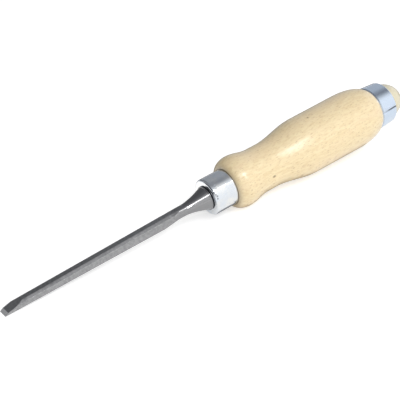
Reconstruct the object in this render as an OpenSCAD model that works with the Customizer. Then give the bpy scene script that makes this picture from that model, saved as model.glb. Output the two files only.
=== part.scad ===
// Wood chisel with a forged blade and a turned, hooped handle
// The tool's axis lies along X, with the cutting edge at -X and the butt at +X.
// The flat back of the blade faces -Z and the bevel faces +Z.
// Origin: on the axis at the rear edge of the ferrule, where the wood's shoulder begins.

/* [Blade] */
// Width of the cutting edge
blade_w = 6; // [4:0.5:9]
// Length from the cutting edge to the bolster's seat
blade_len = 120.5; // [90:0.5:160]
// Thickness just behind the bevel
tip_t = 3.3; // [2.6:0.1:5]
// Thickness where the blade runs into the neck
root_t = 5.5; // [4.6:0.1:6.6]
// Distance from the axis down to the flat back
back_drop = 2.9; // [2.4:0.05:3.4]
// Angle of the ground bevel
bevel_angle = 14; // [12:1:28]
// Angle of the honed strip at the cutting edge
hone_angle = 30; // [28:1:40]
// Length of the honed strip along the blade
hone_len = 1.9; // [0.6:0.1:3]
// Width taken off each top edge by the side chamfer
chamfer_w = 1.4; // [0.6:0.1:1.8]
// Height taken off each top edge by the side chamfer
chamfer_h = 1; // [0.5:0.1:1.8]

/* [Neck and bolster] */
// Length over which the blade's corners run out into the round neck
runout_len = 11; // [6:0.5:16]
// Length of the straight round neck
neck_len = 4; // [2:0.5:10]
// Diameter of the neck
neck_d = 6.2; // [5.4:0.1:8]
// Length of the flare from the neck to the bolster's seat
flare_len = 15; // [11:0.5:22]
// Hollowness of the flare, where 1 is a straight cone
flare_power = 1.6; // [1:0.1:2.4]
// Diameter of the bolster's rim
bolster_d = 13.4; // [12:0.1:16]
// Thickness of the bolster's rim
rim_t = 1; // [0.6:0.1:2]
// Rounding of the rim's front edge
rim_round = 0.4; // [0.2:0.1:0.5]

/* [Tang] */
// Length of the tang behind the bolster's seat
tang_len = 66; // [45:1:85]
// Side of the square tang at the bolster
tang_root = 6; // [4.5:0.1:7]
// Side of the square tang at its point
tang_tip = 3; // [2:0.1:4]

/* [Ferrule] */
// Outer diameter of the ferrule
ferrule_d = 20; // [17:0.5:23]
// Length of the ferrule
ferrule_len = 13.5; // [10:0.5:20]
// Thickness of the ferrule's tube wall
ferrule_wall = 1.1; // [0.7:0.1:1.6]
// Thickness of the ferrule's front wall
ferrule_front = 1.4; // [0.8:0.1:2]
// Rounding of the ferrule's front edge
ferrule_round = 1.2; // [0.5:0.1:2]
// Clearance of the tang's hole in the front wall, on the radius
tang_hole_gap = 0.15; // [0.05:0.05:0.5]

/* [Handle] */
// Length of the bare wood from the ferrule to the hoop
grip_len = 102; // [90:0.5:125]
// Width of the wood's flat shoulder that shows round the ferrule
shoulder_lip = 0.4; // [0.2:0.1:1]
// Diameter of the front bulge
bulge_d = 29; // [26:0.2:33]
// Place of the bulge behind the ferrule
bulge_at = 7.2; // [5:0.2:10]
// Diameter of the waist
waist_d = 25.2; // [23:0.2:29]
// Place where the waist begins
waist_from = 20; // [16:0.5:22]
// Place where the waist ends
waist_to = 26; // [24:0.5:32]
// Place where the barrel begins
barrel_from = 53.5; // [44:0.5:60]
// Diameter at the front of the barrel
barrel_front_d = 32.6; // [30:0.2:37]
// Diameter at the rear of the barrel
barrel_rear_d = 33; // [30:0.2:38]
// Length of the barrel's rounded rear end
round_len = 17; // [14:0.5:28]
// Sweep of the rounded rear end, where 90 degrees is a full quarter
round_sweep = 70; // [50:5:85]
// Diameter of the wood where it meets the hoop
wood_end_d = 25; // [24.4:0.2:28]

/* [Striking hoop] */
// Length of the hoop
hoop_len = 11.2; // [7:0.2:16]
// Outer diameter at the front of the hoop
hoop_front_d = 25.5; // [24.4:0.1:27]
// Outer diameter at the rear of the hoop
hoop_rear_d = 24.2; // [23.4:0.1:25.5]
// Bore of the hoop
hoop_bore_d = 20.4; // [18:0.2:21.4]
// Chamfer of the hoop's front edge
hoop_chamfer = 0.8; // [0.3:0.1:1]
// Rounding of the hoop's rear edge
hoop_round = 0.8; // [0.3:0.1:0.9]
// Height of the domed wood that stands proud of the hoop
crown_h = 11.5; // [4:0.5:15]

/* [Fits] */
// Gap between the wood and a metal piece pressed on or into it, on the radius
press_gap = 0.02; // [0.01:0.01:0.1]

/* [Hidden] */
$fn = 96;

// Number of straight steps along a curved stretch of a turned profile
CURVE_STEPS = 12;
// Length by which a cutting shape runs past what it cuts
OVER = 1;

// Places along the axis
seat_x = -ferrule_len;
tip_x = seat_x - blade_len;
flare_x = seat_x - flare_len;
neck_x = flare_x - neck_len;
runout_x = neck_x - runout_len;
barrel_to = grip_len - round_len;
crown_x = grip_len + hoop_len;

// Bevel: the honed strip comes first, then the ground bevel up to the top face
hone_h = hone_len * tan(hone_angle);
bevel_len = hone_len + (tip_t - hone_h) / tan(bevel_angle);
shoulder_x = tip_x + bevel_len;
top_slope = atan((root_t - tip_t) / (neck_x - shoulder_x));

// Radii that one piece takes from another
ferrule_bore_r = ferrule_d / 2 - ferrule_wall;
tang_hole_r = tang_root / sqrt(2) + tang_hole_gap;
front_tenon_r = ferrule_bore_r - press_gap;
front_tenon_len = ferrule_len - ferrule_front;
rear_tenon_r = hoop_bore_d / 2 - press_gap;
// The runout begins just outside the blade's lower corners
runout_r = norm([blade_w / 2, back_drop]) + 0.1;
// The neck starts inside the blade's flats and comes out of them over the runout
buried_neck_r = min(blade_w, 2 * back_drop, neck_d) / 2 - 0.5;

// Eased step from 0 to 1
function ease(t) = (1 - cos(180 * t)) / 2;

// Points [x, r] on an eased run between two points of a turned profile
function eased_run(from, to) = [
    for (i = [1 : CURVE_STEPS])
        let (t = i / CURVE_STEPS)
        [from.x + (to.x - from.x) * t, from.y + (to.y - from.y) * ease(t)]
];

// Points [x, r] on a quarter ellipse that leaves its start outwards and ends level
function rising_quarter(from, to) = [
    for (i = [0 : CURVE_STEPS])
        let (a = 90 * i / CURVE_STEPS)
        [from.x + (to.x - from.x) * (1 - cos(a)), from.y + (to.y - from.y) * sin(a)]
];

// Points [x, r] on an elliptic arc that leaves its start level and turns inwards by the sweep
function falling_arc(from, to, sweep = 90) = [
    for (i = [1 : CURVE_STEPS])
        let (a = sweep * i / CURVE_STEPS)
        [
            from.x + (to.x - from.x) * sin(a) / sin(sweep),
            to.y + (from.y - to.y) * (cos(a) - cos(sweep)) / (1 - cos(sweep))
        ]
];

// Solid of revolution about the X axis from a closed outline of points [x, r]
module turned(outline) {
    rotate([0, 90, 0])
        rotate_extrude()
            polygon([for (p = outline) [p.y, p.x]]);
}

// Square shaft along +X that tapers from one side length to another
module tapered_square(length, side_from, side_to) {
    trapezoid = [
        [0, -side_from / 2],
        [length, -side_to / 2],
        [length, side_to / 2],
        [0, side_from / 2]
    ];
    intersection() {
        linear_extrude(side_from + 2 * OVER, center = true)
            polygon(trapezoid);
        rotate([90, 0, 0])
            linear_extrude(side_from + 2 * OVER, center = true)
                polygon(trapezoid);
    }
}

// Tang behind the bolster's seat, larger all round by the given gap
module tang(gap = 0) {
    translate([seat_x, 0, 0])
        tapered_square(tang_len + gap, tang_root + 2 * gap, tang_tip + 2 * gap);
}

// Flat bar of the blade with its bevel and the two chamfers along its top
module blade_bar() {
    top_end_t = tip_t + (flare_x - shoulder_x) * tan(top_slope);
    side_view = [
        [tip_x, -back_drop],
        [flare_x, -back_drop],
        [flare_x, top_end_t - back_drop],
        [shoulder_x, tip_t - back_drop],
        [tip_x + hone_len, hone_h - back_drop]
    ];
    difference() {
        rotate([90, 0, 0])
            linear_extrude(blade_w, center = true)
                polygon(side_view);
        for (side = [-1, 1])
            top_chamfer(side);
    }
}

// Wedge that takes one top edge off the bar, along the slope of its top
module top_chamfer(side) {
    cut_len = flare_x - tip_x + 2 * OVER;
    edge_y = blade_w / 2;
    // The wedge follows the chamfer's line outwards, past the bar's own corner
    wedge = [
        [edge_y - 2 * chamfer_w, chamfer_h],
        [edge_y + chamfer_w, -2 * chamfer_h],
        [edge_y + chamfer_w, chamfer_h]
    ];
    translate([shoulder_x, 0, tip_t - back_drop])
        rotate([0, -top_slope, 0])
            translate([-bevel_len - OVER, 0, 0])
                rotate([90, 0, 90])
                    linear_extrude(cut_len)
                        polygon([for (p = wedge) [side * p.x, p.y]]);
}

// Round neck, hollow-curved flare and bolster rim
module neck_and_bolster() {
    bolster_r = bolster_d / 2;
    neck_r = neck_d / 2;
    rim_x = seat_x - rim_t;
    cone_end_r = bolster_r - rim_round;
    hollow = [
        for (i = [0 : CURVE_STEPS - 1])
            let (t = i / CURVE_STEPS)
            [flare_x + (rim_x - flare_x) * t, neck_r + (cone_end_r - neck_r) * pow(t, flare_power)]
    ];
    turned(concat(
        [[runout_x, 0], [runout_x, buried_neck_r], [neck_x, neck_r]],
        hollow,
        rising_quarter([rim_x, cone_end_r], [rim_x + rim_round, bolster_r]),
        [[seat_x, bolster_r], [seat_x, 0]]
    ));
}

// Envelope that trims the blade's corners down to the neck
module runout_envelope() {
    turned([
        [tip_x - OVER, 0],
        [tip_x - OVER, runout_r],
        [runout_x, runout_r],
        [neck_x, neck_d / 2],
        [flare_x, neck_d / 2],
        [flare_x, 0]
    ]);
}

// Blade forged in one piece with its bolster and tang
module blade() {
    color("slategray")
        union() {
            intersection() {
                blade_bar();
                runout_envelope();
            }
            neck_and_bolster();
            tang();
        }
}

// Drawn metal cup over the handle's front tenon
module ferrule() {
    outer_r = ferrule_d / 2;
    inside_x = seat_x + ferrule_front;
    color("lightsteelblue")
        turned(concat(
            [[inside_x, tang_hole_r], [seat_x, tang_hole_r]],
            rising_quarter([seat_x, outer_r - ferrule_round], [seat_x + ferrule_round, outer_r]),
            [[0, outer_r], [0, ferrule_bore_r], [inside_x, ferrule_bore_r]]
        ));
}

// Turned handle with a tenon at each end and the socket that the tang fills
module handle() {
    nose = [0, ferrule_d / 2 + shoulder_lip];
    bulge = [bulge_at, bulge_d / 2];
    waist_front = [waist_from, waist_d / 2];
    waist_rear = [waist_to, waist_d / 2];
    barrel_front = [barrel_from, barrel_front_d / 2];
    barrel_rear = [barrel_to, barrel_rear_d / 2];
    wood_end = [grip_len, wood_end_d / 2];
    crown_foot = [crown_x, rear_tenon_r];
    crown_top = [crown_x + crown_h, 0];
    color("burlywood")
        difference() {
            turned(concat(
                [[-front_tenon_len, 0], [-front_tenon_len, front_tenon_r], [0, front_tenon_r]],
                rising_quarter(nose, bulge),
                eased_run(bulge, waist_front),
                [waist_rear],
                eased_run(waist_rear, barrel_front),
                [barrel_rear],
                falling_arc(barrel_rear, wood_end, round_sweep),
                [[grip_len, rear_tenon_r], crown_foot],
                falling_arc(crown_foot, crown_top)
            ));
            tang(press_gap);
        }
}

// Plated ring that keeps the wood from splitting under the mallet
module striking_hoop() {
    front_r = hoop_front_d / 2;
    rear_r = hoop_rear_d / 2;
    bore_r = hoop_bore_d / 2;
    color("lightsteelblue")
        turned(concat(
            [
                [grip_len, bore_r],
                [grip_len, front_r - hoop_chamfer],
                [grip_len + hoop_chamfer, front_r],
                [crown_x - hoop_round, rear_r]
            ],
            falling_arc([crown_x - hoop_round, rear_r], [crown_x, rear_r - hoop_round]),
            [[crown_x, bore_r]]
        ));
}

blade();
ferrule();
handle();
striking_hoop();
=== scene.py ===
"""Looks of a wood chisel: fine meshes, finishes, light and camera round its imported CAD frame.

Sizes are in millimetres and are turned into metres where a mesh, a light or the camera is made.
X runs along the tool from the cutting edge to the butt, and the blade's flat back faces -Z.
"""

import math

import bmesh
import bpy
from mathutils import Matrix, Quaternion, Vector, noise


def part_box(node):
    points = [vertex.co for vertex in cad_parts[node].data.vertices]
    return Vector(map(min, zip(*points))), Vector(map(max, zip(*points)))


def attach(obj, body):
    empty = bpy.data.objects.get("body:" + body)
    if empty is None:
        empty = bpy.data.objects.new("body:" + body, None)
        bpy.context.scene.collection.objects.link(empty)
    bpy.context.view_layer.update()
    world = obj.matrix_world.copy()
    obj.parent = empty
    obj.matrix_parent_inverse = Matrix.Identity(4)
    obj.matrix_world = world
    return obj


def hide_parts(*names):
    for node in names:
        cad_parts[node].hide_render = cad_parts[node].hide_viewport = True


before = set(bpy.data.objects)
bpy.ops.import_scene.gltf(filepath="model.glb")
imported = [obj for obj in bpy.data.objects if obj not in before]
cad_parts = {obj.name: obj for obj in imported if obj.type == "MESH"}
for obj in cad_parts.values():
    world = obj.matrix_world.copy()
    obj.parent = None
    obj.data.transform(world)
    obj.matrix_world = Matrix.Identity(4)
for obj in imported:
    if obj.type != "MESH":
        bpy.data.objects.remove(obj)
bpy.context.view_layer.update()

MM = 0.001


def box_mm(node):
    """Lowest and highest corner of a CAD node, in millimetres."""
    low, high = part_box(node)
    return low / MM, high / MM


BLADE_LOW, BLADE_HIGH = box_mm("blade")
FERRULE_LOW, FERRULE_HIGH = box_mm("ferrule")
HANDLE_LOW, HANDLE_HIGH = box_mm("handle")
HOOP_LOW, HOOP_HIGH = box_mm("striking_hoop")

# Places along the axis, taken from the frame
TIP_X = BLADE_LOW.x
TANG_END_X = BLADE_HIGH.x
SEAT_X = FERRULE_LOW.x
SHOULDER_X = FERRULE_HIGH.x
TENON_X = HANDLE_LOW.x
HOOP_X = HOOP_LOW.x
CROWN_X = HOOP_HIGH.x
BUTT_X = HANDLE_HIGH.x

# Blade
BLADE_HALF_W = 3.0
BACK_DROP = 2.9
TIP_T = 3.3
ROOT_T = 5.5
BEVEL_ANGLE = math.radians(14)
HONE_ANGLE = math.radians(30)
HONE_LEN = 1.9
CHAMFER_W = 1.4
CHAMFER_H = 1.0
EDGE_ROUND = 0.04

# Neck, flare and bolster
RUNOUT_X = -43.5
NECK_X = -32.5
FLARE_X = -28.5
NECK_R = 3.1
BURIED_NECK_R = 2.4
RUNOUT_R = math.hypot(BLADE_HALF_W, BACK_DROP) + 0.1
FLARE_POWER = 1.6
BOLSTER_R = BLADE_HIGH.y
RIM_T = 1.0
RIM_ROUND = 0.4
TURNING_PITCH = 1.1
TURNING_DEPTH = 0.02

# Tang and its socket
TANG_HALF_ROOT = 3.0
TANG_HALF_TIP = 1.5
PRESS_GAP = 0.02

# Ferrule
FERRULE_R = FERRULE_HIGH.y
FERRULE_WALL = 1.1
FERRULE_FRONT = 1.4
FERRULE_ROUND = 1.2
TANG_HOLE_R = TANG_HALF_ROOT * math.sqrt(2) + 0.15
EDGE_BREAK = 0.22

# Handle
FRONT_TENON_R = FERRULE_R - FERRULE_WALL - PRESS_GAP
NOSE_R = FERRULE_R + 0.4
BULGE_X, BULGE_R = 7.2, 14.5
WAIST_FROM_X, WAIST_TO_X, WAIST_R = 20.0, 26.0, 12.6
BARREL_FROM_X, BARREL_FRONT_R = 53.5, 16.3
BARREL_TO_X, BARREL_REAR_R = HOOP_X - 17.0, HANDLE_HIGH.y
ROUND_SWEEP = math.radians(70)
WOOD_END_R = 12.5
WOOD_WAVE = 0.05
WOOD_WAVE_LEN = 14.0
WOOD_WAVES_ROUND = 1.6

# Striking hoop
HOOP_BORE_R = 10.2
HOOP_FRONT_R = HOOP_HIGH.y
HOOP_REAR_R = 12.1
HOOP_CHAMFER = 0.8
HOOP_ROUND = 0.8
HOOP_SEAM_ANGLE = math.radians(8)
HOOP_SEAM_W = 0.5
HOOP_SEAM_DEPTH = 0.35
REAR_TENON_R = HOOP_BORE_R - PRESS_GAP

# Mesh density: points round the axis, and steps along curves and straight runs
SEGMENTS = 160
CURVE_STEPS = 32
FILLET_STEPS = 6
BREAK_STEPS = 4
HONE_STEPS = 4
BEVEL_STEPS = 12
BAR_STEPS = 40
RUNOUT_STEPS = 36
NECK_STEPS = 4
STEPS_PER_TURNING_MARK = 8
FERRULE_ROUND_STEPS = 14
FERRULE_TUBE_STEPS = 40
WAIST_STEPS = 6
BARREL_STEPS = 24
HOOP_CHAMFER_STEPS = 4
HOOP_WALL_STEPS = 30
HOOP_ROUND_STEPS = 10

# Points nearer than the first distance merge, and edges shorter than the second go
MERGE_DIST = 0.001
SLIVER_LEN = 0.0005
# Edges that turn by more than this are shaded sharp
SHARP_ANGLE = math.radians(32)

# Camera: where the photograph was taken from, where it aims and how it is rolled
CAMERA_PLACE = Vector((-239.0, -378.2, 268.9))
CAMERA_AIM = Vector((-17.4, 0.0, 0.69))
CAMERA_ROLL = math.radians(11.48)
CAMERA_LENS = 90.0
CAMERA_SENSOR = 36.0


# Curves of the turned outlines, as lists of points (x, r)

def ease(t):
    """Smooth step from 0 to 1."""
    return (1 - math.cos(math.pi * t)) / 2


def steps(count):
    """Shares from just after 0 up to 1."""
    return [(i + 1) / count for i in range(count)]


def spread(start, end, count):
    """Even places from start to end, without the start."""
    return [start + (end - start) * t for t in steps(count)]


def straight(start, end, count):
    """Points on a straight run, without its start."""
    return list(zip(spread(start[0], end[0], count), spread(start[1], end[1], count)))


def eased_run(start, end, count=CURVE_STEPS):
    """Points on an eased run between two points, without its start."""
    return [
        (start[0] + (end[0] - start[0]) * t, start[1] + (end[1] - start[1]) * ease(t))
        for t in steps(count)
    ]


def rising_quarter(start, end, count=CURVE_STEPS):
    """Quarter ellipse that leaves its start outwards and ends level, with both ends."""
    return [start] + [
        (
            start[0] + (end[0] - start[0]) * (1 - math.cos(t * math.pi / 2)),
            start[1] + (end[1] - start[1]) * math.sin(t * math.pi / 2),
        )
        for t in steps(count)
    ]


def falling_arc(start, end, count=CURVE_STEPS, sweep=math.pi / 2):
    """Elliptic arc, without its start, that leaves it level and turns inwards by the sweep."""
    drop = 1 - math.cos(sweep)
    return [
        (
            start[0] + (end[0] - start[0]) * math.sin(t * sweep) / math.sin(sweep),
            end[1] + (start[1] - end[1]) * (math.cos(t * sweep) - math.cos(sweep)) / drop,
        )
        for t in steps(count)
    ]


# Mesh making

def stitch(bm, row, after):
    """Faces between two rings of vertices, either of which may be a single point."""
    count = max(len(row), len(after))
    for i in range(count):
        j = (i + 1) % count
        if len(row) == 1:
            corners = (row[0], after[j], after[i])
        elif len(after) == 1:
            corners = (row[i], row[j], after[0])
        else:
            corners = (row[i], row[j], after[j], after[i])
        bm.faces.new(corners)


def loft(name, rings, closed=False):
    """Closed mesh through rings of points. A ring of one point closes an end."""
    bm = bmesh.new()
    rows = [[bm.verts.new(Vector(p) * MM) for p in ring] for ring in rings]
    following = rows[1:] + (rows[:1] if closed else [])
    for row, after in zip(rows, following):
        stitch(bm, row, after)
    bmesh.ops.remove_doubles(bm, verts=bm.verts, dist=MERGE_DIST * MM)
    bmesh.ops.dissolve_degenerate(bm, edges=bm.edges, dist=SLIVER_LEN * MM)
    bmesh.ops.recalc_face_normals(bm, faces=bm.faces)
    mesh = bpy.data.meshes.new(name)
    bm.to_mesh(mesh)
    bm.free()
    mesh.shade_smooth()
    mesh.set_sharp_from_angle(angle=SHARP_ANGLE)
    piece = bpy.data.objects.new(name, mesh)
    bpy.context.scene.collection.objects.link(piece)
    normals = piece.modifiers.new("even_shading", "WEIGHTED_NORMAL")
    normals.keep_sharp = True
    return piece


def circle(x, radius, surface=None):
    """Ring of points round the axis. surface(x, angle) gives how far a point is sunk."""
    ring = []
    for i in range(SEGMENTS):
        angle = 2 * math.pi * i / SEGMENTS
        r = radius - (surface(x, angle) if surface else 0)
        ring.append((x, -r * math.cos(angle), r * math.sin(angle)))
    return ring


def square_ring(x, half_side, directions):
    """Square section round the axis, on the given directions (y, z)."""
    ring = []
    for y, z in directions:
        reach = half_side / max(abs(y), abs(z))
        ring.append((x, y * reach, z * reach))
    return ring


def add_piece(piece, node, material):
    """Puts a finished mesh in the place of its CAD node."""
    piece.data.materials.append(material)
    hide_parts(node)
    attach(piece, "root")


def dent(x, angle, radius, place, depth, reach):
    """Depth at (x, angle) of a soft dent at place, which is (x, angle) too."""
    along = x - place[0]
    around = math.remainder(angle - place[1], 2 * math.pi) * radius
    return depth * math.exp(-(along * along + around * around) / (reach * reach))


# Blade

SHOULDER_OF_BEVEL_X = (
    TIP_X + HONE_LEN + (TIP_T - HONE_LEN * math.tan(HONE_ANGLE)) / math.tan(BEVEL_ANGLE)
)
TOP_SLOPE = (ROOT_T - TIP_T) / (NECK_X - SHOULDER_OF_BEVEL_X)
# Points on each edge of the section: back, side, chamfer, top, chamfer, side
EDGE_POINTS = (26, 22, 10, 20, 10, 22)
CORNER_SHARES = (0.25, 0.5, 0.75)
# Largest share of an edge that a rounded corner takes
LARGEST_CUT = 0.3


def bevel_height(x):
    """Height of the honed strip and the bevel above the flat back."""
    run = x - TIP_X
    honed = min(run, HONE_LEN) * math.tan(HONE_ANGLE)
    return honed + max(run - HONE_LEN, 0) * math.tan(BEVEL_ANGLE)


def bar_corners(x):
    """Corners (y, z) of the blade's section, from the back round to the near side."""
    ceiling = bevel_height(x) - BACK_DROP
    full_top = TIP_T - BACK_DROP + (x - SHOULDER_OF_BEVEL_X) * TOP_SLOPE
    full_side = full_top - CHAMFER_H
    top = min(full_top, ceiling)
    side = min(full_side, ceiling)
    taken = CHAMFER_W * max(top - full_side, 0) / CHAMFER_H
    half, half_top = BLADE_HALF_W, BLADE_HALF_W - taken
    return [
        Vector((-half, -BACK_DROP)),
        Vector((half, -BACK_DROP)),
        Vector((half, side)),
        Vector((half_top, top)),
        Vector((-half_top, top)),
        Vector((-half, side)),
    ]


def broken_edges(corners):
    """Points round a section whose corners are slightly rounded."""
    count = len(corners)
    runs = []
    for i, start in enumerate(corners):
        end = corners[(i + 1) % count]
        length = (end - start).length
        cut = min(EDGE_ROUND, LARGEST_CUT * length)
        way = (end - start).normalized() if length > 0 else Vector((0, 0))
        runs.append((start + way * cut, end - way * cut))
    points = []
    for i, (first, last) in enumerate(runs):
        points += [first.lerp(last, j / (EDGE_POINTS[i] - 1)) for j in range(EDGE_POINTS[i])]
        corner = corners[(i + 1) % count]
        follows = runs[(i + 1) % count][0]
        for t in CORNER_SHARES:
            points.append(last.lerp(corner, t).lerp(corner.lerp(follows, t), t))
    return points


# Small nicks in the blade's top edges: place along the axis, corner of the section, depth and reach
EDGE_NICKS = (
    (-122.3, 4, 0.16, 0.50),
    (-121.0, 5, 0.14, 0.45),
    (-107.4, 4, 0.14, 0.40),
    (-88.0, 3, 0.10, 0.40),
    (-71.5, 4, 0.08, 0.35),
    (-60.2, 5, 0.08, 0.40),
)
NICK_STEPS = (-1.5, -1.0, -0.5, 0.0, 0.5, 1.0, 1.5)


def nicked(x, points, corners):
    """Points of a section, moved towards the axis where the edge has a nick."""
    moved = []
    for point in points:
        sunk = 0.0
        for place, corner, depth, reach in EDGE_NICKS:
            far = (x - place) ** 2 + (point - corners[corner]).length_squared
            sunk += depth * math.exp(-far / reach ** 2)
        moved.append(point * (1 - sunk / point.length))
    return moved


def runout_share(x):
    """How far x is along the stretch where the bar runs out into the neck."""
    return min(max((x - RUNOUT_X) / (NECK_X - RUNOUT_X), 0), 1)


def bar_ring(x):
    """Section of the bar, trimmed towards the round neck where it runs out."""
    corners = bar_corners(x)
    points = nicked(x, broken_edges(corners), corners)
    if x <= RUNOUT_X:
        return [(x, y, z) for y, z in points]
    share = runout_share(x)
    outer = RUNOUT_R + (NECK_R - RUNOUT_R) * share
    inner = BURIED_NECK_R + (NECK_R - BURIED_NECK_R) * share
    ring = []
    for point in points:
        reach = max(min(point.length, outer), inner) / point.length
        ring.append((x, point.x * reach, point.y * reach))
    return ring


def flare_radius(x):
    """Radius of the hollow-curved flare with its fine turning marks."""
    end_x = SEAT_X - RIM_T
    t = min(max((x - FLARE_X) / (end_x - FLARE_X), 0), 1)
    base = NECK_R + (BOLSTER_R - RIM_ROUND - NECK_R) * t ** FLARE_POWER
    mark = 0.5 - 0.5 * math.cos(2 * math.pi * (x - FLARE_X) / TURNING_PITCH)
    return base - TURNING_DEPTH * mark * math.sin(math.pi * t)


def blade_stations():
    """Places along the bar where its section is taken, with every kink among them."""
    hone_end = TIP_X + HONE_LEN
    bare_side = TIP_T - CHAMFER_H - HONE_LEN * math.tan(HONE_ANGLE)
    kink = hone_end + bare_side / (math.tan(BEVEL_ANGLE) - TOP_SLOPE)
    stations = [TIP_X, kink]
    stations += spread(TIP_X, hone_end, HONE_STEPS)
    stations += spread(hone_end, SHOULDER_OF_BEVEL_X, BEVEL_STEPS)
    stations += spread(SHOULDER_OF_BEVEL_X, RUNOUT_X, BAR_STEPS)
    stations += spread(RUNOUT_X, NECK_X, RUNOUT_STEPS)
    for place, _, _, reach in EDGE_NICKS:
        stations += [place + step * reach for step in NICK_STEPS]
    return sorted(set(round(x, 4) for x in stations))


def make_blade(material):
    """Forged blade: bar, bevel, neck, flare, bolster rim and tang in one mesh."""
    rings = [bar_ring(x) for x in blade_stations()]
    directions = [Vector((y, z)).normalized() for _, y, z in rings[-1]]
    outline = straight((NECK_X, NECK_R), (FLARE_X, NECK_R), NECK_STEPS)
    rim_x = SEAT_X - RIM_T
    flare_steps = round((rim_x - FLARE_X) / TURNING_PITCH * STEPS_PER_TURNING_MARK)
    outline += [(x, flare_radius(x)) for x in spread(FLARE_X, rim_x, flare_steps)]
    rim_start = (rim_x, BOLSTER_R - RIM_ROUND)
    outline += rising_quarter(rim_start, (rim_x + RIM_ROUND, BOLSTER_R), FILLET_STEPS)[1:]
    seat_start = (SEAT_X - EDGE_BREAK, BOLSTER_R)
    outline += falling_arc(seat_start, (SEAT_X, BOLSTER_R - EDGE_BREAK), BREAK_STEPS)
    rings += [[(x, y * r, z * r) for y, z in directions] for x, r in outline]
    rings.append(square_ring(SEAT_X, TANG_HALF_ROOT, directions))
    rings.append(square_ring(TANG_END_X, TANG_HALF_TIP, directions))
    rings.append([(TANG_END_X, 0, 0)])
    add_piece(loft("forged_blade", rings), "blade", material)


# Ferrule

# Small knocks on the ferrule, as (x, angle up from the near side), depth and reach
FERRULE_DENTS = (
    ((-10.45, math.radians(55)), 0.12, 0.40),
    ((-10.55, math.radians(48)), 0.10, 0.35),
    ((-12.60, math.radians(27)), 0.14, 0.60),
    ((-12.30, math.radians(20)), 0.12, 0.55),
    ((-4.10, math.radians(-28)), 0.05, 0.80),
    ((-6.50, math.radians(160)), 0.08, 0.70),
    ((-3.00, math.radians(245)), 0.06, 0.90),
)


def ferrule_surface(x, angle):
    """How far the ferrule's outside is knocked in."""
    return sum(dent(x, angle, FERRULE_R, *knock) for knock in FERRULE_DENTS)


def make_ferrule(material):
    """Drawn cup: front wall with the tang's hole, rounded front edge and tube."""
    inside_x = SEAT_X + FERRULE_FRONT
    bore_r = FERRULE_R - FERRULE_WALL
    rounded = (SEAT_X + FERRULE_ROUND, FERRULE_R)
    inner = [(inside_x, TANG_HOLE_R), (SEAT_X, TANG_HOLE_R)]
    outer = rising_quarter((SEAT_X, FERRULE_R - FERRULE_ROUND), rounded, FERRULE_ROUND_STEPS)
    outer += straight(rounded, (SHOULDER_X - EDGE_BREAK, FERRULE_R), FERRULE_TUBE_STEPS)
    outer += falling_arc(outer[-1], (SHOULDER_X, FERRULE_R - EDGE_BREAK), FILLET_STEPS)
    hollow = [(SHOULDER_X, bore_r), (inside_x, bore_r)]
    rings = [circle(x, r) for x, r in inner]
    rings += [circle(x, r, ferrule_surface) for x, r in outer]
    rings += [circle(x, r) for x, r in hollow]
    piece = loft("plated_ferrule", rings, closed=True)
    add_piece(piece, "ferrule", material)


# Handle

# Shallow knocks in the wood, as (x, angle up from the near side), depth and reach
HANDLE_DENTS = (
    ((33.0, math.radians(-35)), 0.10, 2.2),
    ((66.0, math.radians(70)), 0.08, 1.8),
    ((84.0, math.radians(150)), 0.12, 2.0),
    ((47.0, math.radians(215)), 0.10, 2.6),
    ((96.0, math.radians(5)), 0.06, 1.5),
)


def wood_surface(x, angle):
    """Slight unevenness of sanded wood, always inwards, with a few knocks."""
    y, z = math.cos(angle) * WOOD_WAVES_ROUND, math.sin(angle) * WOOD_WAVES_ROUND
    wave = noise.noise(Vector((x / WOOD_WAVE_LEN, y, z)))
    knocks = sum(dent(x, angle, BARREL_REAR_R, *knock) for knock in HANDLE_DENTS)
    return WOOD_WAVE * (1 + wave) / 2 + knocks


def handle_outline():
    """Points (x, r) of the bare wood, from the ferrule's shoulder to the hoop."""
    bulge = (BULGE_X, BULGE_R)
    waist = (WAIST_TO_X, WAIST_R)
    barrel = (BARREL_FROM_X, BARREL_FRONT_R)
    barrel_end = (BARREL_TO_X, BARREL_REAR_R)
    return (
        rising_quarter((SHOULDER_X, NOSE_R), bulge)
        + eased_run(bulge, (WAIST_FROM_X, WAIST_R))
        + straight((WAIST_FROM_X, WAIST_R), waist, WAIST_STEPS)
        + eased_run(waist, barrel)
        + straight(barrel, barrel_end, BARREL_STEPS)
        + falling_arc(barrel_end, (HOOP_X, WOOD_END_R), sweep=ROUND_SWEEP)
    )


def make_handle(material):
    """Turned handle: front tenon with its socket, grip, rear tenon and crown."""
    angles = [2 * math.pi * i / SEGMENTS for i in range(SEGMENTS)]
    directions = [Vector((-math.cos(a), math.sin(a))) for a in angles]
    socket_end = TANG_END_X + PRESS_GAP
    rings = [[(socket_end, 0, 0)]]
    rings.append(square_ring(socket_end, TANG_HALF_TIP + PRESS_GAP, directions))
    way_in = (TENON_X - SEAT_X) / (TANG_END_X - SEAT_X)
    mouth = TANG_HALF_ROOT + (TANG_HALF_TIP - TANG_HALF_ROOT) * way_in + PRESS_GAP
    rings.append(square_ring(TENON_X, mouth, directions))
    rings += [circle(TENON_X, FRONT_TENON_R), circle(SHOULDER_X, FRONT_TENON_R)]
    rings += [circle(x, r, wood_surface) for x, r in handle_outline()]
    rings += [circle(HOOP_X, REAR_TENON_R), circle(CROWN_X, REAR_TENON_R)]
    crown = falling_arc((CROWN_X, REAR_TENON_R), (BUTT_X, 0))
    rings += [circle(x, r) for x, r in crown[:-1]]
    rings.append([(BUTT_X, 0, 0)])
    add_piece(loft("turned_handle", rings), "handle", material)


# Striking hoop

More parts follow.
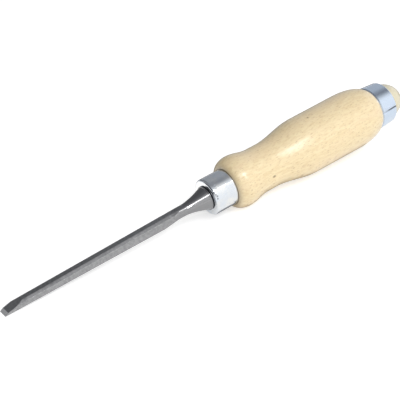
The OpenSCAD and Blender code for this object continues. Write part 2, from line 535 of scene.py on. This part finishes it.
def hoop_surface(x, angle):
    """Fine groove where the hoop's strip was joined."""
    around = math.remainder(angle - HOOP_SEAM_ANGLE, 2 * math.pi) * HOOP_FRONT_R
    return HOOP_SEAM_DEPTH * math.exp(-((around / HOOP_SEAM_W) ** 2))


def make_hoop(material):
    """Slightly tapered ring with a chamfered front edge and a rounded rear edge."""
    chamfer_end = (HOOP_X + HOOP_CHAMFER, HOOP_FRONT_R)
    round_start = (CROWN_X - HOOP_ROUND, HOOP_REAR_R)
    outer = straight((HOOP_X, HOOP_FRONT_R - HOOP_CHAMFER), chamfer_end, HOOP_CHAMFER_STEPS)
    outer += straight(chamfer_end, round_start, HOOP_WALL_STEPS)
    outer += falling_arc(round_start, (CROWN_X, HOOP_REAR_R - HOOP_ROUND), HOOP_ROUND_STEPS)
    rings = [circle(HOOP_X, HOOP_BORE_R), circle(HOOP_X, HOOP_FRONT_R - HOOP_CHAMFER)]
    rings += [circle(x, r, hoop_surface) for x, r in outer]
    rings.append(circle(CROWN_X, HOOP_BORE_R))
    piece = loft("plated_hoop", rings, closed=True)
    add_piece(piece, "striking_hoop", material)


# Finishes

# Sockets of the mix node when it mixes colours: the share and the two colours, and the result
MIX_INPUTS = (0, 6, 7)
MIX_RESULT = 2
WHITE = (1.0, 1.0, 1.0)
BLACK = (0.0, 0.0, 0.0)


class Finish:
    """Node tree of one material, with short calls for the nodes that the finishes share."""

    def __init__(self, name):
        self.material = bpy.data.materials.new(name)
        self.material.use_nodes = True
        self.tree = self.material.node_tree
        self.shader = self.tree.nodes["Principled BSDF"]
        self.place = self.add("ShaderNodeTexCoord").outputs["Object"]
        self.grain = self.place

    def add(self, kind, **settings):
        """New node with its settings."""
        node = self.tree.nodes.new(kind)
        for name, value in settings.items():
            setattr(node, name, value)
        return node

    def put(self, socket, value):
        """Links an output to an input, or sets the input's own value."""
        if isinstance(value, bpy.types.NodeSocket):
            self.tree.links.new(value, socket)
        elif socket.type == "RGBA":
            socket.default_value = (*value, 1.0)
        else:
            socket.default_value = value

    def feed(self, node, **inputs):
        """Puts an output or a value into each named input."""
        for name, value in inputs.items():
            self.put(node.inputs[name.replace("_", " ")], value)

    def vector(self, operation, *inputs, result="Vector"):
        """One operation on vectors, with its inputs in order."""
        node = self.add("ShaderNodeVectorMath", operation=operation)
        for socket, value in zip(node.inputs, inputs):
            self.put(socket, value)
        return node.outputs[result]

    def maths(self, operation, *inputs):
        """One operation on values, with its inputs in order."""
        node = self.add("ShaderNodeMath", operation=operation)
        for socket, value in zip(node.inputs, inputs):
            self.put(socket, value)
        return node.outputs["Value"]

    def times(self, first, second):
        """Product of two values."""
        return self.maths("MULTIPLY", first, second)

    def mix(self, share, first, second):
        """Colour between two colours."""
        node = self.add("ShaderNodeMix", data_type="RGBA")
        for index, value in zip(MIX_INPUTS, (share, first, second)):
            self.put(node.inputs[index], value)
        return node.outputs[MIX_RESULT]

    def span(self, value, low, high, to_low=0.0, to_high=1.0):
        """Maps a value from one range to another, smoothly and clamped."""
        node = self.add("ShaderNodeMapRange", interpolation_type="SMOOTHSTEP")
        self.feed(node, Value=value, From_Min=low, From_Max=high)
        self.feed(node, To_Min=to_low, To_Max=to_high)
        return node.outputs["Result"]

    def axis(self, name):
        """One object coordinate, in metres."""
        node = self.add("ShaderNodeSeparateXYZ")
        self.feed(node, Vector=self.place)
        return node.outputs[name]

    def along(self, low, high, to_low=0.0, to_high=1.0):
        """Value that changes along the tool between two places, which are in millimetres."""
        return self.span(self.axis("X"), low * MM, high * MM, to_low, to_high)

    def turn_grain(self, angle):
        """Turns the coordinates of the textures about the X axis."""
        node = self.add("ShaderNodeVectorRotate", rotation_type="X_AXIS")
        self.feed(node, Vector=self.place, Angle=angle)
        self.grain = node.outputs["Vector"]

    def stretched(self, lengths):
        """Coordinates of the textures measured in the given lengths, which are in millimetres."""
        return self.vector("DIVIDE", self.grain, [length * MM for length in lengths])

    def clouds(self, lengths, detail, roughness):
        """Noise whose features have the given lengths."""
        node = self.add("ShaderNodeTexNoise")
        self.feed(node, Vector=self.stretched(lengths), Scale=1.0, Detail=detail)
        self.feed(node, Roughness=roughness)
        return node.outputs["Fac"]

    def bump(self, height, depth):
        """Surface relief of the given depth in millimetres."""
        node = self.add("ShaderNodeBump")
        self.feed(node, Height=height, Distance=depth * MM, Strength=1.0)
        self.feed(self.shader, Normal=node.outputs["Normal"])

    def set(self, **inputs):
        """Inputs of the shader itself."""
        self.feed(self.shader, **inputs)
        return self.material


BEECH_LIGHT = (0.90, 0.75, 0.47)
BEECH_DARK = (0.80, 0.62, 0.35)
BEECH_ROSE = (0.87, 0.68, 0.44)
BEECH_FLECK = (0.46, 0.28, 0.13)
BEECH_END = (0.70, 0.65, 0.48)
KNOT_BROWN = (0.22, 0.13, 0.06)
# Brown of the dark line at the ferrule's joint and of the painted shade on the nose and at the hoop
SEAM_AND_SHADE_BROWN = (0.14, 0.10, 0.06)
# How much of each colour shows where it is strongest
RING_SHARE = 0.25
ROSE_SHARE = 0.6
SHORT_RAY_SHARE = 0.45
LONG_RAY_SHARE = 0.50
END_SHARE = 0.9
SEAM_AND_SHADE_SHARE = 0.85
KNOT_SHARE = 0.8
# Growth rings: the pith lies outside the handle, and the wood rays run away from it
RING_SPACING = 2.4
RING_DRIFT = 0.03
RING_WAVER = 2.2
RING_WAVER_DETAIL = 2.0
RING_WAVER_SCALE = 0.6
PITH = (0.0, 38.0, -46.0)
RAY_ANGLE = math.atan2(PITH[2], PITH[1])
# The wave texture turns by this many radians over one unit
WAVE_RATE = 20
# Noise of the grain: sizes along the tool, along the rays and across both, detail and roughness
FIBRES = ((4.5, 1.0, 1.0), 3.0, 0.6)
BROAD_TINT = ((45.0, 9.0, 9.0), 2.0, 0.55)
# Levels of that noise between which the colour changes
FIBRE_LEVELS = (0.35, 0.75)
ROSE_LEVELS = (0.45, 0.75)
# Wood rays: sizes of their cells in the same directions, and the share of its cell that a ray fills
LONG_RAYS = ((3.2, 8.0, 0.8), 0.32)
SHORT_RAYS = ((1.9, 5.0, 0.5), 0.36)
# Share of a ray that is full, and random levels between which rays go from faint to strong
RAY_CORE = 0.3
RAY_LEVELS = (0.1, 0.9)
# Pin knots, as centre and half width, and how much longer than wide they are
PIN_KNOTS = (
    (Vector((22.2, -12.6, 0.1)), 0.95),
    (Vector((57.0, -2.2, 16.2)), 0.60),
    (Vector((58.0, 11.0, -12.0)), 0.80),
)
KNOT_STRETCH = 1.7
# Share of a speck that is full
SPECK_CORE = 0.2
# Where the end grain's colour comes in along X
END_FADE_X = (CROWN_X - 1.0, CROWN_X + 2.0)
# Depth of the fibres, and how deep the long rays are as a share of it
FIBRE_RELIEF = 0.03
RAY_SINK = 0.6
# Roughness of the wood, and levels of the fibres between which it changes
BEECH_ROUGHNESS = (0.36, 0.50)
BEECH_ROUGH_LEVELS = (0.3, 0.8)
BEECH_IOR = 1.5
LACQUER_ROUGHNESS = 0.22
# Dark line where the wood meets the ferrule, and painted shade over the nose: radii of the dark line,
# radius and share of the shade, and where both fade along X
LIP_R = (NOSE_R - 0.1, NOSE_R + 0.3)
NOSE_SHADE_R = NOSE_R + 3.2
NOSE_SHADE_SHARE = 0.34
NOSE_FADE_X = (4.0, 7.0)
# Painted shade in the gap where the wood meets the hoop: where it begins and fades along X, and its
# share
REAR_SHADE_X = (HOOP_X - 0.35, HOOP_X - 0.05)
REAR_SHADE_FADE_X = (HOOP_X + 0.5, CROWN_X - 1.0)
REAR_SHADE_SHARE = 0.8


def growth_rings(finish):
    """Soft bands of the growth rings, round a pith that lies outside the handle."""
    place = finish.vector(
        "MULTIPLY_ADD", finish.place, (RING_DRIFT, 1.0, 1.0), [-p * MM for p in PITH]
    )
    wave = finish.add("ShaderNodeTexWave", wave_type="RINGS", rings_direction="X")
    wave.wave_profile = "SAW"
    finish.feed(wave, Vector=place, Scale=2 * math.pi / (WAVE_RATE * RING_SPACING * MM))
    finish.feed(wave, Distortion=RING_WAVER, Detail=RING_WAVER_DETAIL, Detail_Scale=RING_WAVER_SCALE)
    return wave.outputs["Fac"]


def dashes(finish, lengths, fill):
    """Short dark dashes of the wood rays along the grain, some fainter than others."""
    cells = finish.add("ShaderNodeTexVoronoi", feature="F1")
    finish.feed(cells, Vector=finish.stretched(lengths), Scale=1.0)
    dash = finish.span(cells.outputs["Distance"], RAY_CORE * fill, fill, 1.0, 0.0)
    pick = finish.add("ShaderNodeSeparateColor")
    finish.feed(pick, Color=cells.outputs["Color"])
    return finish.times(dash, finish.span(pick.outputs["Red"], *RAY_LEVELS))


def specks(finish, places, stretch=1.0):
    """Soft specks at a few places (centre, half width), drawn out along the tool."""
    squash = Vector((1 / stretch, 1.0, 1.0))
    scaled = finish.vector("MULTIPLY", finish.place, squash / MM)
    total = 0.0
    for place, half_width in places:
        far = finish.vector("DISTANCE", scaled, place * squash, result="Value")
        speck = finish.span(far, SPECK_CORE * half_width, half_width, 1.0, 0.0)
        total = finish.maths("MAXIMUM", speck, total)
    return total


def seam_line_and_painted_shade(finish):
    """Dark line where the wood meets the ferrule, painted shade where it meets the hoop, and faint
    painted shade over the nose.
    """
    off_axis = finish.vector("MULTIPLY", finish.place, (0.0, 1.0, 1.0))
    radius = finish.vector("LENGTH", off_axis, result="Value")
    lip = finish.span(radius, LIP_R[0] * MM, LIP_R[1] * MM, 1.0, 0.0)
    # Painted shade over the nose, fading outwards from its foot
    nose_shade = finish.span(radius, NOSE_R * MM, NOSE_SHADE_R * MM, NOSE_SHADE_SHARE, 0.0)
    front = finish.times(finish.maths("MAXIMUM", lip, nose_shade), finish.along(*NOSE_FADE_X, 1.0, 0.0))
    # Painted shade in the gap at the hoop's front
    rear = finish.along(*REAR_SHADE_X, 0.0, REAR_SHADE_SHARE)
    rear = finish.times(rear, finish.along(*REAR_SHADE_FADE_X, 1.0, 0.0))
    return finish.maths("MAXIMUM", front, rear)


def lacquered_beech():
    """Pale beech with rings, flecks and fine fibres under a satin lacquer."""
    finish = Finish("lacquered_beech")
    finish.turn_grain(-RAY_ANGLE)
    fibres = finish.clouds(*FIBRES)
    broad = finish.clouds(*BROAD_TINT)
    rings = growth_rings(finish)
    long_rays = dashes(finish, *LONG_RAYS)
    short_rays = dashes(finish, *SHORT_RAYS)
    crown = finish.along(*END_FADE_X, 0.0, END_SHARE)
    knots = specks(finish, PIN_KNOTS, KNOT_STRETCH)
    colour = finish.mix(finish.span(fibres, *FIBRE_LEVELS), BEECH_LIGHT, BEECH_DARK)
    colour = finish.mix(finish.times(rings, RING_SHARE), colour, BEECH_DARK)
    colour = finish.mix(finish.span(broad, *ROSE_LEVELS, 0.0, ROSE_SHARE), colour, BEECH_ROSE)
    colour = finish.mix(finish.times(short_rays, SHORT_RAY_SHARE), colour, BEECH_FLECK)
    colour = finish.mix(finish.times(long_rays, LONG_RAY_SHARE), colour, BEECH_FLECK)
    colour = finish.mix(crown, colour, BEECH_END)
    # Dark line at the ferrule's joint, with painted shade over the nose and at the hoop
    colour = finish.mix(finish.times(seam_line_and_painted_shade(finish), SEAM_AND_SHADE_SHARE), colour, SEAM_AND_SHADE_BROWN)
    colour = finish.mix(finish.times(knots, KNOT_SHARE), colour, KNOT_BROWN)
    finish.bump(finish.maths("ADD", fibres, finish.times(long_rays, -RAY_SINK)), FIBRE_RELIEF)
    return finish.set(
        Base_Color=colour,
        Roughness=finish.span(fibres, *BEECH_ROUGH_LEVELS, *BEECH_ROUGHNESS),
        IOR=BEECH_IOR,
        Coat_Weight=1.0,
        Coat_Roughness=LACQUER_ROUGHNESS,
    )


STEEL_LIGHT = (0.447, 0.447, 0.453)
STEEL_DARK = (0.321, 0.321, 0.329)
STEEL_NECK = (0.335, 0.335, 0.342)
STEEL_HONED = (0.90, 0.90, 0.90)
# Near-black colour of the painted shade at the bolster's foot, where it meets the ferrule
STEEL_FOOT_SHADE = (0.02, 0.02, 0.022)
# Width of the near-black band of painted shade at the bolster's foot, and over what length a change of
# colour fades
FOOT_SHADE_BAND = 0.5
FOOT_SHADE_FADE = 0.15
HONE_FADE = 0.05
# Where the bar's colour changes to the neck's along X
NECK_FADE_X = (RUNOUT_X + 6.0, NECK_X + 1.0)
# Upward part of its normal at which a face starts to count as facing up, and counts in full
FACING_UP = (0.5, 0.6)
# Noise of the steel's marks: sizes along the blade, across it and upwards, detail and roughness
LINES = ((0.12, 6.0, 6.0), 3.0, 0.65)
MOTTLE = ((1.4, 1.6, 1.6), 3.0, 0.65)
STEEL_HAZE = ((14.0, 3.0, 3.0), 4.0, 0.55)
# Levels of that noise between which the colour changes
MOTTLE_LEVELS = (0.3, 0.7)
STEEL_HAZE_LEVELS = (0.4, 0.8)
STEEL_HAZE_SHARE = 0.5
LINE_RELIEF = 0.006
# Roughness of the steel, and levels of the haze between which it changes
STEEL_ROUGHNESS = (0.30, 0.38)
STEEL_ROUGH_LEVELS = (0.3, 0.7)
# What the neck, the honed strip and the painted shade at the bolster's foot add to the roughness
NECK_ROUGHER = -0.22
HONED_ROUGHER = 0.12
FOOT_SHADE_ROUGHER = 0.30


def honed_strip(finish):
    """One on the honed strip behind the cutting edge and nought elsewhere."""
    hone_end = TIP_X + HONE_LEN
    near = finish.along(hone_end - HONE_FADE, hone_end + HONE_FADE, 1.0, 0.0)
    facing = finish.add("ShaderNodeSeparateXYZ")
    finish.feed(facing, Vector=finish.add("ShaderNodeNewGeometry").outputs["True Normal"])
    return finish.times(near, finish.span(facing.outputs["Z"], *FACING_UP))


def ground_steel():
    """Mottled tool steel with grinding lines across it, smoother and darker on the neck and flare, with
    a band of painted shade at the bolster's foot.
    """
    finish = Finish("ground_steel")
    lines = finish.clouds(*LINES)
    mottle = finish.clouds(*MOTTLE)
    haze = finish.clouds(*STEEL_HAZE)
    neck = finish.along(*NECK_FADE_X)
    # Painted shade: a near-black band at the bolster's foot
    foot_shade_from = SEAT_X - FOOT_SHADE_BAND
    foot_shade = finish.along(foot_shade_from - FOOT_SHADE_FADE, foot_shade_from + FOOT_SHADE_FADE)
    honed = honed_strip(finish)
    colour = finish.mix(finish.span(mottle, *MOTTLE_LEVELS), STEEL_DARK, STEEL_LIGHT)
    hazy = finish.span(haze, *STEEL_HAZE_LEVELS, 0.0, STEEL_HAZE_SHARE)
    colour = finish.mix(hazy, colour, STEEL_DARK)
    colour = finish.mix(neck, colour, STEEL_NECK)
    colour = finish.mix(honed, colour, STEEL_HONED)
    colour = finish.mix(foot_shade, colour, STEEL_FOOT_SHADE)
    rough = finish.span(haze, *STEEL_ROUGH_LEVELS, *STEEL_ROUGHNESS)
    for share, rougher in ((neck, NECK_ROUGHER), (honed, HONED_ROUGHER), (foot_shade, FOOT_SHADE_ROUGHER)):
        rough = finish.maths("ADD", rough, finish.times(share, rougher))
    finish.bump(lines, LINE_RELIEF)
    return finish.set(Base_Color=colour, Metallic=1.0, Roughness=rough)


PLATE_COOL = (0.80, 0.85, 0.91)
PLATE_WARM = (0.88, 0.90, 0.91)
PLATE_HOOP = (0.68, 0.79, 0.94)
# Dark of the seam's dirt, the spots at the ferrule's knocks and the painted shade at the hoop's front
# edge
SEAM_AND_SHADE_DARK = (0.10, 0.11, 0.13)
HOOP_TINT_SHARE = 0.9
# Dark spots at the knocks on the ferrule's front edge, as centre and half width
FRONT_EDGE_SPOTS = (
    (Vector((-12.90, -7.7, 6.0)), 0.9),
    (Vector((-12.70, -8.6, 4.9)), 0.7),
    (Vector((-12.30, -9.1, 4.0)), 0.8),
    (Vector((-12.50, -9.5, 2.8)), 0.7),
)
FRONT_EDGE_SPOT_SHARE = 0.7
# Places along X that tell the hoop from the ferrule
ON_HOOP_X = (HOOP_X - 1.0, HOOP_X - 0.5)
# Dirt in the hoop's seam: how far off its middle it fades, from which Y on the near side it is full,
# where it grows from front to rear along X, and its shares there
SEAM_DIRT_OFF = (0.4 * HOOP_SEAM_W, 1.3 * HOOP_SEAM_W)
SEAM_DIRT_Y = -1.0
SEAM_DIRT_X = (HOOP_X + 0.5, CROWN_X - 4.0)
SEAM_SHARES = (0.2, 0.95)
# Painted shade along the hoop's front edge: where it fades along X, and its share
EDGE_SHADE_X = (HOOP_X + 0.5, HOOP_X + 0.95)
EDGE_SHADE_SHARE = 0.25
# Noise of the plate's marks: sizes along the tool, across it and upwards, detail and roughness
PLATE_HAZE = ((5.0, 4.0, 4.0), 4.0, 0.55)
PLATE_MARKS = ((0.18, 5.0, 5.0), 3.0, 0.6)
PLATE_HAZE_LEVELS = (0.35, 0.7)
PLATE_RELIEF = 0.003
# Roughness of the plate, with levels of the haze and the marks between which it changes
PLATE_ROUGHNESS = (0.12, 0.20)
PLATE_ROUGH_LEVELS = (0.3, 0.7)
MARK_LEVELS = (0.6, 0.8)
MARK_ROUGHER = 0.08
SEAM_ROUGHER = 0.4


def hoop_seam_and_edge_shade(finish):
    """Dirt in the hoop's seam and painted shade along its front edge, and nought elsewhere."""
    across = finish.times(finish.axis("Z"), math.cos(HOOP_SEAM_ANGLE))
    lean = finish.times(finish.axis("Y"), math.sin(HOOP_SEAM_ANGLE))
    off = finish.maths("ABSOLUTE", finish.maths("ADD", across, lean))
    line = finish.span(off, SEAM_DIRT_OFF[0] * MM, SEAM_DIRT_OFF[1] * MM, 1.0, 0.0)
    near_side = finish.span(finish.axis("Y"), SEAM_DIRT_Y * MM, 0.0, 1.0, 0.0)
    seam = finish.times(line, finish.times(near_side, finish.along(*SEAM_DIRT_X, *SEAM_SHARES)))
    # Painted shade along the hoop's front edge
    edge = finish.along(*EDGE_SHADE_X, EDGE_SHADE_SHARE, 0.0)
    on_hoop = finish.along(*ON_HOOP_X)
    return finish.times(finish.maths("MAXIMUM", seam, edge), on_hoop)


def plated_steel():
    """Bright zinc plate with a faint haze, fine marks round the piece, a dark seam, dark spots at the
    ferrule's knocks and painted shade along the hoop's front edge.
    """
    finish = Finish("plated_steel")
    haze = finish.clouds(*PLATE_HAZE)
    marks = finish.clouds(*PLATE_MARKS)
    # The seam's dirt together with the painted shade at the hoop's front edge
    seam = hoop_seam_and_edge_shade(finish)
    front_edge_spots = finish.times(specks(finish, FRONT_EDGE_SPOTS), FRONT_EDGE_SPOT_SHARE)
    colour = finish.mix(finish.span(haze, *PLATE_HAZE_LEVELS), PLATE_COOL, PLATE_WARM)
    colour = finish.mix(finish.along(SHOULDER_X, HOOP_X, 0.0, HOOP_TINT_SHARE), colour, PLATE_HOOP)
    colour = finish.mix(seam, colour, SEAM_AND_SHADE_DARK)
    colour = finish.mix(front_edge_spots, colour, SEAM_AND_SHADE_DARK)
    rough = finish.span(haze, *PLATE_ROUGH_LEVELS, *PLATE_ROUGHNESS)
    rough = finish.maths("ADD", rough, finish.span(marks, *MARK_LEVELS, 0.0, MARK_ROUGHER))
    rough = finish.maths("ADD", rough, finish.times(seam, SEAM_ROUGHER))
    finish.bump(marks, PLATE_RELIEF)
    return finish.set(Base_Color=colour, Metallic=1.0, Roughness=rough)


# Stage, light and camera

FLOOR_HALF = 900.0
FLOOR_SLOPE = max((r - BACK_DROP) / (x - TIP_X) for x, r in handle_outline())
FLOOR_WHITE = (0.75, 0.75, 0.75)
FLOOR_ROUGHNESS = 0.9
# The floor's own glow: as the light that it gives off, as the metal mirrors it and as it is seen
FLOOR_GLOW = 0.22
FLOOR_MIRRORED_GLOW = 0.29
FLOOR_SEEN_GLOW = 0.56

# Grey flag over the top and down the back, which fades in above the soft boxes
FLAG_RADIUS = 1500.0
FLAG_HALF_LENGTH = 2500.0
# Angles up from the front where it begins as white, has the top's grey, has the rear's greys and ends
FLAG_FROM = math.radians(42)
FLAG_OVERHEAD = math.radians(86)
FLAG_REAR = math.radians(122)
FLAG_TO = math.radians(179)
FLAG_STEPS = 24
FLAG_TOP = (0.255, 0.26, 0.275)
# Greys of its rear, with the places along X between which they change
FLAG_FAR_LEFT = (0.30, 0.305, 0.315)
FLAG_FAR_LEFT_FADE_X = (-650.0, -350.0)
FLAG_LEFT = (0.18, 0.185, 0.195)
FLAG_RIGHT_FADE_X = (300.0, 1250.0)
FLAG_RIGHT = (0.47, 0.49, 0.52)
# Its strips on the floor, behind and under the ferrule and the handle: ends along X, edges along Y. The
# two under the ferrule and the handle are painted shade of the floor beneath the tool, seen only in
# reflections
FLAG_AND_UNDER_SHADE_STRIPS = (
    ((-12.0, 2500.0), (22.0, 1500.0)),
    # Painted shade: the floor beneath the ferrule and the handle, as the reflections see it
    ((-12.0, 2.0), (-7.0, 22.0)),
    ((2.0, 96.0), (-10.0, 22.0)),
)

# Dark card beyond the cutting edge
CARD_X = -400.0
CARD_Y = (-260.0, 380.0)
CARD_Z = (15.0, 360.0)
CARD_BLACK = (0.03, 0.03, 0.035)

# White card on the floor behind the bolster, which the ferrule's front face mirrors
WHITE_CARD_X = (-50.0, -14.0)
WHITE_CARD_Y = (8.0, 60.0)
WHITE_CARD_LEVEL = (1.25, 1.2, 1.15)

# Height above the floor of the strips and the white card
SHEET_GAP = 0.5

# Light from all round, which is stronger from the front and the right
AMBIENT = 0.54
AMBIENT_SWING = 1.0
AMBIENT_FROM = Vector((0.45, -0.89, 0.08)).normalized()

# Soft boxes: place, aim, length, height and power
LONG_BOX = (Vector((-80.0, -632.0, 702.0)), Vector((-80.0, 0.0, 0.0)), 970.0, 130.0, 2.1)
SIDE_BOX = (Vector((150.0, -715.0, 590.0)), Vector((30.0, 0.0, 0.0)), 60.0, 390.0, 1.08)


def floor_height(x):
    """Height of the floor, on which the tool lies with its cutting edge and its barrel."""
    return -BACK_DROP - FLOOR_SLOPE * (x - TIP_X)


def floor_material():
    """Pale floor that reads as white and keeps the tool's shadow."""
    finish = Finish("pale_floor")
    path = finish.add("ShaderNodeLightPath")
    mirrored, seen = path.outputs["Is Glossy Ray"], path.outputs["Is Camera Ray"]
    glow = finish.span(mirrored, 0.0, 1.0, FLOOR_GLOW, FLOOR_MIRRORED_GLOW)
    glow = finish.span(seen, 0.0, 1.0, glow, FLOOR_SEEN_GLOW)
    return finish.set(
        Base_Color=FLOOR_WHITE,
        Roughness=FLOOR_ROUGHNESS,
        Emission_Color=WHITE,
        Emission_Strength=glow,
    )


def stage_sheet(name, corners, material):
    """Open sheet through rows of points."""
    bm = bmesh.new()
    rows = [[bm.verts.new(Vector(p) * MM) for p in row] for row in corners]
    for row, after in zip(rows, rows[1:]):
        for i in range(len(row) - 1):
            bm.faces.new((row[i], row[i + 1], after[i + 1], after[i]))
    mesh = bpy.data.meshes.new(name)
    bm.to_mesh(mesh)
    bm.free()
    mesh.shade_smooth()
    mesh.materials.append(material)
    sheet = bpy.data.objects.new(name, mesh)
    bpy.context.scene.collection.objects.link(sheet)
    return sheet


def make_floor():
    """Plane under the cutting edge and the barrel, on which the tool lies."""
    ends = (-FLOOR_HALF, FLOOR_HALF)
    rows = [[(x, y, floor_height(x)) for y in ends] for x in ends]
    stage_sheet("floor", rows, floor_material())


def mirrored_sheet(name, corners, material):
    """Stage sheet that only the reflections of the metal and the lacquer see."""
    sheet = stage_sheet(name, corners, material)
    sheet.visible_camera = False
    sheet.visible_diffuse = False
    sheet.visible_shadow = False
    sheet.visible_transmission = False


def mirrored_floor_sheet(name, ends, edges, material):
    """Sheet just above the floor that only reflections see, from its ends along X and edges along Y."""
    rows = [[(x, y, floor_height(x) + SHEET_GAP) for x in ends] for y in edges]
    mirrored_sheet(name, rows, material)


def glowing(finish, colour):
    """Material that shows a colour at its own level, whatever light falls on it."""
    return finish.set(
        Base_Color=BLACK,
        Specular_IOR_Level=0.0,
        Emission_Color=colour,
        Emission_Strength=1.0,
    )


def flag_grey():
    """Grey that is white at the flag's front edge, dark overhead and lighter at both ends behind."""
    finish = Finish("grey_flag")
    around = finish.maths("ARCTAN2", finish.axis("Z"), finish.times(finish.axis("Y"), -1.0))
    below = finish.maths("LESS_THAN", around, 0.0)
    angle = finish.maths("ADD", around, finish.times(below, 2 * math.pi))
    rear = finish.mix(finish.along(*FLAG_RIGHT_FADE_X), FLAG_LEFT, FLAG_RIGHT)
    rear = finish.mix(finish.along(*FLAG_FAR_LEFT_FADE_X), FLAG_FAR_LEFT, rear)
    grey = finish.mix(finish.span(angle, FLAG_OVERHEAD, FLAG_REAR), FLAG_TOP, rear)
    grey = finish.mix(finish.span(angle, FLAG_FROM, FLAG_OVERHEAD), WHITE, grey)
    return glowing(finish, grey)


def make_flag():
    """Grey studio flag over the top and down the back, with its strips on the floor, two of them
    painted shade under the tool.
    """
    grey = flag_grey()
    rows = []
    for i in range(FLAG_STEPS + 1):
        turn = FLAG_FROM + (FLAG_TO - FLAG_FROM) * i / FLAG_STEPS
        y, z = -FLAG_RADIUS * math.cos(turn), FLAG_RADIUS * math.sin(turn)
        rows.append([(x, y, z) for x in (-FLAG_HALF_LENGTH, FLAG_HALF_LENGTH)])
    mirrored_sheet("flag", rows, grey)
    for i, (ends, edges) in enumerate(FLAG_AND_UNDER_SHADE_STRIPS):
        mirrored_floor_sheet(f"flag_and_shade_strip_{i}", ends, edges, grey)


def make_cards():
    """Dark card that draws the front edges of the metal, and white card for the ferrule's front."""
    rows = [[(CARD_X, y, z) for y in CARD_Y] for z in CARD_Z]
    mirrored_sheet("card", rows, glowing(Finish("dark_card"), CARD_BLACK))
    white = glowing(Finish("white_card"), WHITE_CARD_LEVEL)
    mirrored_floor_sheet("white_card", WHITE_CARD_X, WHITE_CARD_Y, white)


def seen_share(tree):
    """One for camera, glossy and transmission rays, and nought for the light that bounces."""
    path = tree.nodes.new("ShaderNodeLightPath")
    share = path.outputs["Is Camera Ray"]
    for name in ("Is Glossy Ray", "Is Transmission Ray"):
        either = tree.nodes.new("ShaderNodeMath")
        either.operation = "MAXIMUM"
        tree.links.new(share, either.inputs[0])
        tree.links.new(path.outputs[name], either.inputs[1])
        share = either.outputs["Value"]
    return share


def make_world():
    """White surroundings for what is seen, and soft light from all round."""
    world = bpy.data.worlds.new("studio")
    bpy.context.scene.world = world
    world.use_nodes = True
    tree = world.node_tree
    tree.nodes.clear()
    lean = tree.nodes.new("ShaderNodeVectorMath")
    lean.operation = "DOT_PRODUCT"
    tree.links.new(tree.nodes.new("ShaderNodeTexCoord").outputs["Generated"], lean.inputs[0])
    lean.inputs[1].default_value = AMBIENT_FROM
    level = tree.nodes.new("ShaderNodeMath")
    level.operation = "MULTIPLY_ADD"
    tree.links.new(lean.outputs["Value"], level.inputs[0])
    level.inputs[1].default_value = AMBIENT * AMBIENT_SWING
    level.inputs[2].default_value = AMBIENT
    soft = tree.nodes.new("ShaderNodeBackground")
    tree.links.new(level.outputs["Value"], soft.inputs["Strength"])
    white = tree.nodes.new("ShaderNodeBackground")
    mix = tree.nodes.new("ShaderNodeMixShader")
    output = tree.nodes.new("ShaderNodeOutputWorld")
    for background in (soft, white):
        background.inputs["Color"].default_value = (*WHITE, 1.0)
    tree.links.new(seen_share(tree), mix.inputs[0])
    tree.links.new(soft.outputs[0], mix.inputs[1])
    tree.links.new(white.outputs[0], mix.inputs[2])
    tree.links.new(mix.outputs[0], output.inputs["Surface"])


def make_soft_box(name, place, aim, length, height, power):
    """Rectangular lamp that faces the tool."""
    data = bpy.data.lights.new(name, "AREA")
    data.shape = "RECTANGLE"
    data.size = length * MM
    data.size_y = height * MM
    data.energy = power
    lamp = bpy.data.objects.new(name, data)
    lamp.location = place * MM
    lamp.rotation_mode = "QUATERNION"
    lamp.rotation_quaternion = (aim - place).to_track_quat("-Z", "Y")
    lamp.visible_camera = False
    bpy.context.scene.collection.objects.link(lamp)


def make_camera():
    """Camera at the photograph's place, with its roll."""
    data = bpy.data.cameras.new("camera")
    data.sensor_fit = "HORIZONTAL"
    data.sensor_width = CAMERA_SENSOR
    data.lens = CAMERA_LENS
    camera = bpy.data.objects.new("camera", data)
    upright = (CAMERA_AIM - CAMERA_PLACE).to_track_quat("-Z", "Y")
    camera.rotation_mode = "QUATERNION"
    camera.rotation_quaternion = upright @ Quaternion((0, 0, 1), -CAMERA_ROLL)
    camera.location = CAMERA_PLACE * MM
    bpy.context.scene.collection.objects.link(camera)
    bpy.context.scene.camera = camera


make_camera()
bpy.context.scene.view_settings.view_transform = "Standard"
make_world()
make_floor()
make_flag()
make_cards()
make_soft_box("long_box", *LONG_BOX)
make_soft_box("side_box", *SIDE_BOX)

steel = ground_steel()
plate = plated_steel()
make_blade(steel)
make_ferrule(plate)
make_handle(lacquered_beech())
make_hoop(plate)
